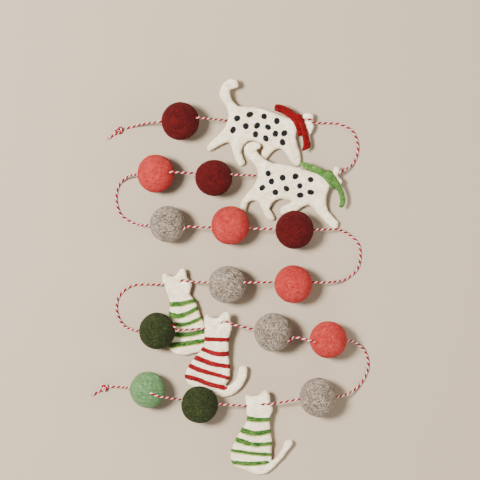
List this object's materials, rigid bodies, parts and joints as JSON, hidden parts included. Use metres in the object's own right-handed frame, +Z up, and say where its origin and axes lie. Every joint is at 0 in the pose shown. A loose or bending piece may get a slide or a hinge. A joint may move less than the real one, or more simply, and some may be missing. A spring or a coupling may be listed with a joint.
{
  "type": "felt garland",
  "caption": "Garland of felted wool balls and flat felt cats, spotted with scarves or striped, threaded on red and white baker's twine and laid out in rows.",
  "frame": {"origin": "on the surface, under the centre of the box round the balls, cats and scarves", "axes": "+X along the rows, +Y from the last row to the first, +Z up from the surface"},
  "size_m": [0.22, 0.318, 0.03],
  "materials": {
    "wool_dark_red": "matte felted wool",
    "wool_coral": "matte felted wool",
    "wool_grey": "matte felted wool, heathered",
    "wool_dark_green": "matte felted wool",
    "wool_light_green": "matte felted wool",
    "wool_white": "matte felted wool, natural white",
    "wool_black": "matte needle-felted wool, the spots",
    "stripe_green": "matte needle-felted yarn, the green stripes",
    "stripe_red": "matte needle-felted yarn, the red stripes",
    "felt_red": "matte felt strip",
    "felt_green": "matte felt strip",
    "twine_red_white": "two-ply cotton twine, one ply red and one white"
  },
  "bodies": {
    "root": {"ball_01_dark_red": "wool_dark_red", "ball_02_dark_red": "wool_dark_red", "ball_03_coral": "wool_coral", "ball_04_grey": "wool_grey", "ball_05_coral": "wool_coral", "ball_06_dark_red": "wool_dark_red", "ball_07_coral": "wool_coral", "ball_08_grey": "wool_grey", "ball_09_dark_green": "wool_dark_green", "ball_10_grey": "wool_grey", "ball_11_coral": "wool_coral", "ball_12_grey": "wool_grey", "ball_13_dark_green": "wool_dark_green", "ball_14_light_green": "wool_light_green", "cat_walking_1": "wool_white", "cat_walking_2": "wool_white", "cat_sitting_1": "wool_white", "cat_sitting_2": "wool_white", "cat_sitting_3": "wool_white", "scarf_red": "felt_red", "scarf_green": "felt_green", "twine": "twine_red_white"}
  },
  "joints": []
}
